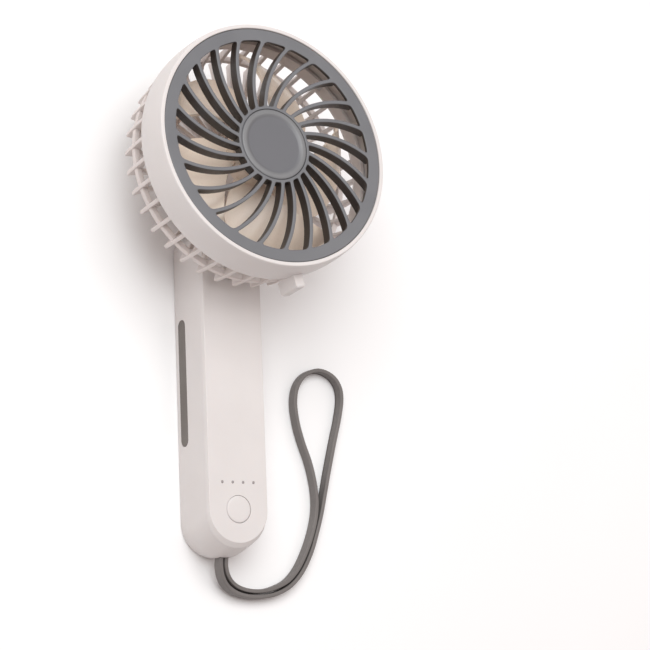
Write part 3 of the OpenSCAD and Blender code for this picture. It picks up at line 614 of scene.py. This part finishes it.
def makeLights():
    bm = bmesh.new()
    radius, top = lights["radius"], lights["top"]
    for x, y in lightPlaces():
        one = bmesh.new()
        lathe(one, [(0, top), (0.3, top - 0.02), (0.48, top - 0.07), (0.57, top - 0.14),
                    (radius, top - 0.3), (radius, lights["bottom"]), (0, lights["bottom"])], 24)
        bmesh.ops.translate(one, verts=one.verts, vec=(x, y, 0))
        addCopy(bm, one)
    return ridePiece(toObject("chargeLights", bm), "lightGuide", "handle", ["led_lenses"])


def makeStrips():
    for side, name in ((-1, "left"), (1, "right")):
        depth = strip["thickness"] + strip["proud"]
        bm = bmesh.new()
        stadium(bm, strip["length"], strip["width"], depth,
                (side * (handle["width"] / 2 + strip["proud"] - depth / 2), strip["y"], strip["z"]), "X")
        softenEdges(bm, 0.3, 3, 60)
        ridePiece(toObject("gripStrip_" + name, bm), "stripRubber", "handle", ["side_strip_" + name])


def softenedCopy(name, node, material, body, width=0.3, segments=3, sharpest=30):
    # a CAD piece with its edges rounded as a moulding's are
    bm = bmesh.new()
    bm.from_mesh(frame["nodes"][node].data)
    bmesh.ops.scale(bm, verts=bm.verts, vec=(1 / mm, 1 / mm, 1 / mm))
    tidyCut(bm, width, segments, sharpest)
    return ridePiece(toObject(name, bm), material, body, [node])


makeShell()
makePanel()
makeButton()
makeLights()
makeStrips()
softenedCopy("hingeYoke", "hinge_yoke", "whiteShell", "handle", 0.3)
softenedCopy("neckArm", "neck_arm", "whiteCage", "head", 0.3)
print("handle ready")


# head ring
ring = {
    "inner": 53.5, "outer": 56.0, "crown": 60, "depth": 18, "lip": 0.35, "ledge": 51.9,
    "ledgeFront": -5.5, "ledgeBack": -6.9, "lipRound": 0.55,
}
rib = {"turn": 11, "width": 4.5, "reach": 62, "foot": 55.6, "front": -10, "back": -23, "corner": 1.6}


def crownRadius(z):
    return ring["outer"] - ring["crown"] + math.sqrt(ring["crown"] ** 2 - (z + ring["depth"] / 2) ** 2)


def makeRing():
    bm = bmesh.new()
    turns = 14
    crown = [(crownRadius(-ring["depth"] * i / turns), -ring["depth"] * i / turns)
             for i in range(1, turns + 1)]
    lip = ring["lip"]
    rimOuter = crownRadius(0)
    roundSteps = 5
    corner = [(rimOuter - ring["lipRound"] * (1 - math.sin(a)), lip - ring["lipRound"] * (1 - math.cos(a)))
              for a in (math.pi / 2 * i / roundSteps for i in range(roundSteps + 1))]
    lathe(bm, [(ring["inner"] + 0.25, lip), *corner, *crown, (ring["inner"], -ring["depth"]),
               (ring["inner"], ring["ledgeBack"]), (ring["ledge"], ring["ledgeBack"]),
               (ring["ledge"], ring["ledgeFront"]), (ring["inner"], ring["ledgeFront"]),
               (ring["inner"], lip - 0.25)], 192)
    outwards(bm)
    rear = [edge for edge in bm.edges if all(
        abs(vert.co.z + ring["depth"]) < 1e-3 and vert.co.xy.length > ring["inner"] + 1
        for vert in edge.verts)]
    softenEdges(bm, 1.2, 4, chosen=rear)
    ribPart = bmesh.new()
    height, depth = rib["reach"] - rib["foot"], rib["front"] - rib["back"]
    box(ribPart, (rib["width"], height, depth),
        (0, -rib["foot"] - height / 2, (rib["front"] + rib["back"]) / 2))
    outer = [edge for edge in ribPart.edges if all(vert.co.y < -rib["reach"] + 0.1 for vert in edge.verts)]
    softenEdges(ribPart, rib["corner"], 6, chosen=outer)
    for vert in ribPart.verts:
        if vert.co.y > -rib["foot"] - 0.1 and vert.co.z > -ring["depth"]:
            vert.co.y += 0.8
    bmesh.ops.rotate(ribPart, verts=ribPart.verts, cent=(0, 0, 0),
                     matrix=Matrix.Rotation(math.radians(rib["turn"]), 3, "Z"))
    addCopy(bm, ribPart)
    piece = toObject("frontRing", bm, headPlace)
    return ridePiece(piece, "whiteShell", "head", ["front_ring"])


makeRing()
print("ring ready")


# front grille
grille = {
    "outer": 53.3, "slotOuter": 47.9, "slotInner": 17.5, "depth": 5.2,
    "plateDepth": 1.9, "vaneDepth": 5.05, "vanes": 24,
    "vaneThick": 1.7, "sweep": 24.4, "bend": 46, "turn": 8, "edge": 0.38, "hubRecess": 16.15,
    "outerFillet": 1.5, "innerFillet": 0.8, "sideSteps": 14,
}


def vaneCircle():
    # centre of the circle that the first vane's middle line follows
    start = Vector((grille["slotInner"] - 1, 0))
    reach = grille["slotOuter"] + 1
    sweep = math.radians(grille["sweep"])
    end = Vector((reach * math.cos(sweep), -reach * math.sin(sweep)))
    half = (end - start).length / 2
    along = (end - start).normalized()
    return (start + end) / 2 + math.sqrt(grille["bend"] ** 2 - half ** 2) * Vector((along.y, -along.x))


vaneCentre = vaneCircle()


def vaneAngle(radius, side):
    # angle at which a face of the first vane crosses a radius, side being 1 or -1
    bend = grille["bend"] + side * grille["vaneThick"] / 2
    away = vaneCentre.length
    spread = math.acos((away ** 2 + radius ** 2 - bend ** 2) / (2 * away * radius))
    return math.atan2(vaneCentre.y, vaneCentre.x) + spread


def polar(radius, angle):
    return Vector((radius * math.cos(angle), radius * math.sin(angle)))


def cornerCurve(before, corner, after, steps=4):
    # a round corner between two points
    shares = [i / steps for i in range(1, steps)]
    return [before * (1 - t) ** 2 + corner * 2 * t * (1 - t) + after * t ** 2 for t in shares]


def slotOutline(index):
    turn = math.radians(grille["turn"] + index * 360 / grille["vanes"])
    ahead = turn + math.radians(360 / grille["vanes"])
    inner, outer = grille["slotInner"], grille["slotOuter"]
    innerCut, outerCut = grille["innerFillet"], grille["outerFillet"]
    steps = grille["sideSteps"]
    radii = [inner + innerCut + (outer - outerCut - inner - innerCut) * i / steps for i in range(steps + 1)]
    low = [polar(radius, turn + vaneAngle(radius, 1)) for radius in radii]
    high = [polar(radius, ahead + vaneAngle(radius, -1)) for radius in reversed(radii)]
    outerLow, outerHigh = turn + vaneAngle(outer, 1), ahead + vaneAngle(outer, -1)
    innerLow, innerHigh = turn + vaneAngle(inner, 1), ahead + vaneAngle(inner, -1)
    cut = outerCut / outer
    top = [polar(outer, outerLow + cut + (outerHigh - outerLow - 2 * cut) * i / 4) for i in range(5)]
    cut = innerCut / inner
    foot = [polar(inner, innerHigh - cut + (innerLow - innerHigh + 2 * cut) * i / 2) for i in range(3)]
    return [
        *low, *cornerCurve(low[-1], polar(outer, outerLow), top[0]),
        *top, *cornerCurve(top[-1], polar(outer, outerHigh), high[0]),
        *high, *cornerCurve(high[-1], polar(inner, innerHigh), foot[0]),
        *foot, *cornerCurve(foot[-1], polar(inner, innerLow), low[0]),
    ]


def circleOutline(radius, count):
    return [polar(radius, 2 * math.pi * i / count) for i in range(count)]


def flatPlate(outlines, bottom, top, edge):
    # a plate with holes and rounded edges, made from flat outlines
    curve = bpy.data.curves.new("plate", "CURVE")
    curve.dimensions = "2D"
    curve.fill_mode = "BOTH"
    curve.extrude = (top - bottom) / 2 - edge
    curve.bevel_depth = edge
    curve.bevel_resolution = 2
    curve.offset = -edge
    for outline in outlines:
        spline = curve.splines.new("POLY")
        spline.points.add(len(outline) - 1)
        spline.use_cyclic_u = True
        for point, place in zip(spline.points, outline):
            point.co = (place.x, place.y, 0, 1)
    holder = bpy.data.objects.new("plate", curve)
    bpy.context.collection.objects.link(holder)
    mesh = bpy.data.meshes.new_from_object(holder.evaluated_get(bpy.context.evaluated_depsgraph_get()))
    bpy.data.objects.remove(holder)
    bm = bmesh.new()
    bm.from_mesh(mesh)
    bpy.data.meshes.remove(mesh)
    bmesh.ops.remove_doubles(bm, verts=bm.verts, dist=0.001)
    bmesh.ops.translate(bm, verts=bm.verts, vec=(0, 0, (top + bottom) / 2))
    return bm


def vaneOutline(index):
    turn = math.radians(grille["turn"] + index * 360 / grille["vanes"])
    steps = grille["sideSteps"]
    start, end = grille["slotInner"] - 0.5, grille["slotOuter"] + 1.6
    radii = [start + (end - start) * i / steps for i in range(steps + 1)]
    near = [polar(radius, turn + vaneAngle(radius, -1)) for radius in radii]
    far = [polar(radius, turn + vaneAngle(radius, 1)) for radius in reversed(radii)]
    return near + far


def makeGrille():
    plate = [circleOutline(grille["outer"], 192), circleOutline(grille["hubRecess"], 96)]
    plate += [slotOutline(i) for i in range(grille["vanes"])]
    bm = flatPlate(plate, -grille["plateDepth"], 0, grille["edge"])
    deep = [vaneOutline(i) for i in range(grille["vanes"])]
    addCopy(bm, flatPlate(deep, -grille["vaneDepth"], 0.4 - grille["plateDepth"], 0.2))
    floor = bmesh.new()
    hub, joint = grille["slotInner"] - 0.05, 0.3 - grille["plateDepth"]
    lathe(floor, [(0, -2.3), (hub - 0.7, -2.3), (hub - 0.7, joint), (hub, joint),
                  (hub, 0.3 - grille["depth"]), (hub - 0.3, -grille["depth"]), (0, -grille["depth"])], 96)
    addCopy(bm, floor)
    piece = toObject("frontGrille", bm, headPlace)
    # painted shade: points deeper than 0.12 mm behind the front darken, fully by 0.42 mm, so the vane sides
    # read dark
    markShadeDepth(piece, 0.12, 0.42)
    return ridePiece(piece, "greyGrille", "head", ["front_grille"])


cap = {"radius": 16.05, "dish": 12.2, "dishDepth": 0.85, "rise": 0.22, "thickness": 2.1}


def makeCap():
    radius, dish, rise = cap["radius"], cap["dish"], cap["rise"]
    low = rise - cap["dishDepth"]
    bm = bmesh.new()
    deep = cap["dishDepth"]
    slope = [(dish + 2.2 * t, low + deep * (3 * t * t - 2 * t ** 3)) for t in (i / 8 for i in range(1, 9))]
    lathe(bm, [(0, low), (dish - 2, low), (dish, low), *slope, (radius - 1.0, rise - 0.04),
               (radius - 0.45, rise - 0.16), (radius - 0.12, rise - 0.4), (radius, rise - 0.8),
               (radius, -cap["thickness"]), (0, -cap["thickness"])], 128)
    piece = toObject("hubCap", bm, headPlace)
    # painted shade: the dish darkens with its depth below the raised rim
    markShadeDepth(piece, -0.1, 0.7)
    return ridePiece(piece, "greyCap", "head", ["hub_cap"])


makeGrille()
makeCap()
print("grille ready")


# rear cage
cage = {
    "fins": 36, "finThick": 1.9, "finEdge": 0.5, "shoulder": (-19.0, -18, 51.4, 54.0),
    "flange": (-18.3, -12, 51.55, 53.35), "hoop": (-31.2, -28.7, 50.1, 52.6),
    "midHoop": (-36.3, -34.3, 32.5, 34.6), "cup": 12.8, "cupBore": 11.1, "cupFront": -20.2,
    "cupBack": -37.4, "cupFloor": -35.4, "wireHole": 4.9,
}
finSide = [
    (51.9, -18.5), (53.8, -18.5), (53.6, -26), (52.9, -34), (52.5, -36.6), (52.2, -38.4),
    (49.6, -37.9), (44, -37.5), (30, -37.2), (12.2, -36.9), (12.2, -33.2),
    (30, -33.6), (43, -34), (46.4, -33.4), (48.6, -31.2), (50, -27),
]


def tube(bm, low, high, inner, outer, edge=0.35, steps=144):
    part = bmesh.new()
    lathe(part, [(inner, low), (outer, low), (outer, high), (inner, high)], steps)
    outwards(part)
    softenEdges(part, edge, 3, 60)
    addCopy(bm, part)


def makeCage():
    bm = bmesh.new()
    for name in ("shoulder", "flange", "hoop", "midHoop"):
        low, high, inner, outer = cage[name]
        tube(bm, low, high, inner, outer)
    cup = bmesh.new()
    lathe(cup, [(cage["wireHole"], cage["cupBack"]), (cage["cup"], cage["cupBack"]),
                (cage["cup"], cage["cupFront"]), (cage["cupBore"], cage["cupFront"]),
                (cage["cupBore"], cage["cupFloor"]), (cage["wireHole"], cage["cupFloor"])], 96)
    outwards(cup)
    softenEdges(cup, 0.35, 3, 60)
    addCopy(bm, cup)
    fin = bmesh.new()
    half = cage["finThick"] / 2
    face = fin.faces.new([fin.verts.new((radius, -half, z)) for radius, z in finSide])
    grown = bmesh.ops.extrude_face_region(fin, geom=[face])["geom"]
    moved = [part for part in grown if isinstance(part, bmesh.types.BMVert)]
    bmesh.ops.translate(fin, verts=moved, vec=(0, 2 * half, 0))
    outwards(fin)
    softenEdges(fin, cage["finEdge"], 2, 60)
    bmesh.ops.rotate(fin, verts=fin.verts, cent=(0, 0, 0),
                     matrix=Matrix.Rotation(math.pi / cage["fins"], 3, "Z"))
    outwards(fin)
    one = bpy.data.meshes.new("fin")
    fin.to_mesh(one)
    fin.free()
    for index in range(cage["fins"]):
        copy = bmesh.new()
        copy.from_mesh(one)
        bmesh.ops.rotate(copy, verts=copy.verts, cent=(0, 0, 0),
                         matrix=Matrix.Rotation(2 * math.pi * index / cage["fins"], 3, "Z"))
        addCopy(bm, copy)
    bpy.data.meshes.remove(one)
    return ridePiece(toObject("rearCage", bm, headPlace), "whiteCage", "head", ["rear_cage"])


makeCage()
print("cage ready")


# impeller
impeller = {
    "blades": 5, "thickness": 1.3, "hub": 14, "hubFront": -8.4, "hubBack": -19.6, "bore": 1.0,
    "middle": -15.6, "rise": 6.2, "camber": 1.6, "across": 18, "along": 16, "tip": 47.3,
}
# radius, then the angles of the leading and trailing edges
bladeEdges = [(13.4, 6, 58), (20, 13, 67), (25, 18, 74), (30, 22, 80), (34, 27, 84.5), (38, 35, 88.5),
              (41, 46, 91), (43.6, 60, 93), (45.6, 74, 94.5), (46.8, 84, 95.3), (47.3, 92, 95.6)]


def bladeEdgeAt(radius):
    for low, high in zip(bladeEdges, bladeEdges[1:]):
        if radius <= high[0] + 1e-6:
            share = (radius - low[0]) / (high[0] - low[0])
            share = max(0.0, share)
            return tuple(low[k] + (high[k] - low[k]) * share for k in (1, 2))
    return bladeEdges[-1][1:]


def makeBlade():
    bm = bmesh.new()
    bmesh.ops.create_grid(bm, x_segments=impeller["across"], y_segments=impeller["along"], size=0.5)
    root, tip = bladeEdges[0][0], impeller["tip"]
    for vert in bm.verts:
        across, outward = vert.co.x + 0.5, vert.co.y + 0.5
        outward = 1 - (1 - outward) ** 1.6  # closer rows towards the round tip
        radius = root + (tip - root) * outward
        lead, trail = bladeEdgeAt(radius)
        angle = math.radians(lead + (trail - lead) * across)
        arc = radius * math.radians(trail - lead) / 40
        height = (across - 0.5) * 2 * impeller["rise"] * min(1.0, arc * 1.25)
        bow = impeller["camber"] * (1 - (2 * across - 1) ** 2)
        vert.co = (*polar(radius, angle), impeller["middle"] + height - bow)
    bmesh.ops.remove_doubles(bm, verts=bm.verts, dist=0.01)
    blade = toObject("blade", bm)
    wall = blade.modifiers.new("wall", "SOLIDIFY")
    wall.thickness = impeller["thickness"] * mm
    wall.offset = 0
    applyModifiers(blade)
    return blade


def makeImpeller():
    bm = bmesh.new()
    hub, front, back = impeller["hub"], impeller["hubFront"], impeller["hubBack"]
    lathe(bm, [(0, front + 0.3), (6, front + 0.2), (10, front - 0.1), (12.6, front - 0.5),
               (13.5, front - 1.1), (hub, front - 2.2), (hub, back), (hub - 1.4, back),
               (hub - 1.4, front - 3), (3, front - 3),
               (3, back + 1.5), (impeller["bore"], back + 1.5), (impeller["bore"], front - 1.1),
               (0, front - 1.1)], 96)
    blade = makeBlade()
    for index in range(impeller["blades"]):
        one = bmesh.new()
        one.from_mesh(blade.data)
        bmesh.ops.scale(one, verts=one.verts, vec=(1 / mm, 1 / mm, 1 / mm))
        outwards(one)
        softenEdges(one, 0.45, 3, 60)
        bmesh.ops.rotate(one, verts=one.verts, cent=(0, 0, 0),
                         matrix=Matrix.Rotation(2 * math.pi * index / impeller["blades"], 3, "Z"))
        addCopy(bm, one)
    bpy.data.objects.remove(blade)
    return ridePiece(toObject("fanImpeller", bm, headPlace), "creamBlades", "impeller", ["impeller"],
                     50)


makeImpeller()
print("impeller ready")


# the CAD pieces that show as they are
nodeFinishes = {
    "steel": ("yoke_screws", "hinge_pin", "friction_washers", "board_screws", "charge_port", "battery_tabs",
              "cage_screws", "neck_screws", "motor_can", "motor_screws", "motor_shaft"),
    "darkPlastic": ("switch_plunger", "tact_switch", "board_parts", "strap_anchor"),
    "solderMask": ("circuit_board",),
    "cellSleeve": ("battery_cell",),
    "foam": ("battery_pad",),
    "redWire": ("battery_leads", "motor_leads"),
    "nylon": ("motor_end_cap",),
    "magnet": ("motor_magnets",),
    "bronze": ("motor_bushes",),
    "copper": ("motor_armature",),
}


def finishNodes():
    for finish, names in nodeFinishes.items():
        for name in names:
            node = frame["nodes"][name]
            for slot in node.material_slots:
                slot.material = materials[finish]


finishNodes()
print("nodes ready")


# floor and light
studio = {
    "floorSize": 6.0,
    "floorDrop": 0.0001,
    "sky": 0.42,
    "skyColour": (1.0, 0.87, 0.84),
    "key": {"place": (-0.48, 0.52, 1.35), "size": 1.3, "power": 20, "colour": (0.97, 1.0, 1.01)},
    "fill": {"place": (0.7, 0.3, 1.2), "size": 1.2, "power": 3, "colour": (1.0, 0.98, 0.97)},
}


def makeFloor():
    bm = bmesh.new()
    bmesh.ops.create_grid(bm, x_segments=8, y_segments=8, size=studio["floorSize"] / 2 / mm)
    bmesh.ops.translate(bm, verts=bm.verts, vec=(0, 0, -studio["floorDrop"] / mm))
    floor = toObject("floor", bm)
    material, tree, shader = newMaterial("paleFloor", Roughness=0.9, Specular_IOR_Level=0.1)
    paper = noise(tree, objectPoint(tree), 6, 3)
    tree.links.new(ramp(tree, paper, (0.93, 0.93, 0.93), (0.95, 0.95, 0.95)), shader.inputs["Base Color"])
    floor.data.materials.append(material)


def makeLight(name, place, size, power, colour):
    data = bpy.data.lights.new(name, "AREA")
    data.shape = "DISK"
    data.size = size
    data.energy = power
    data.color = colour
    lamp = bpy.data.objects.new(name, data)
    aim = (Vector((0.02, 0.03, 0.03)) - Vector(place)).to_track_quat("-Z", "Y")
    lamp.matrix_world = Matrix.Translation(place) @ aim.to_matrix().to_4x4()
    bpy.context.collection.objects.link(lamp)


def makeSky():
    world = bpy.data.worlds.new("studio")
    world.use_nodes = True
    world.node_tree.nodes["Background"].inputs["Color"].default_value = (*studio["skyColour"], 1)
    world.node_tree.nodes["Background"].inputs["Strength"].default_value = studio["sky"]
    bpy.context.scene.world = world


makeFloor()
makeSky()
for lamp in ("key", "fill"):
    makeLight(lamp, **studio[lamp])
bpy.context.scene.view_settings.view_transform = "Standard"
print("studio ready")
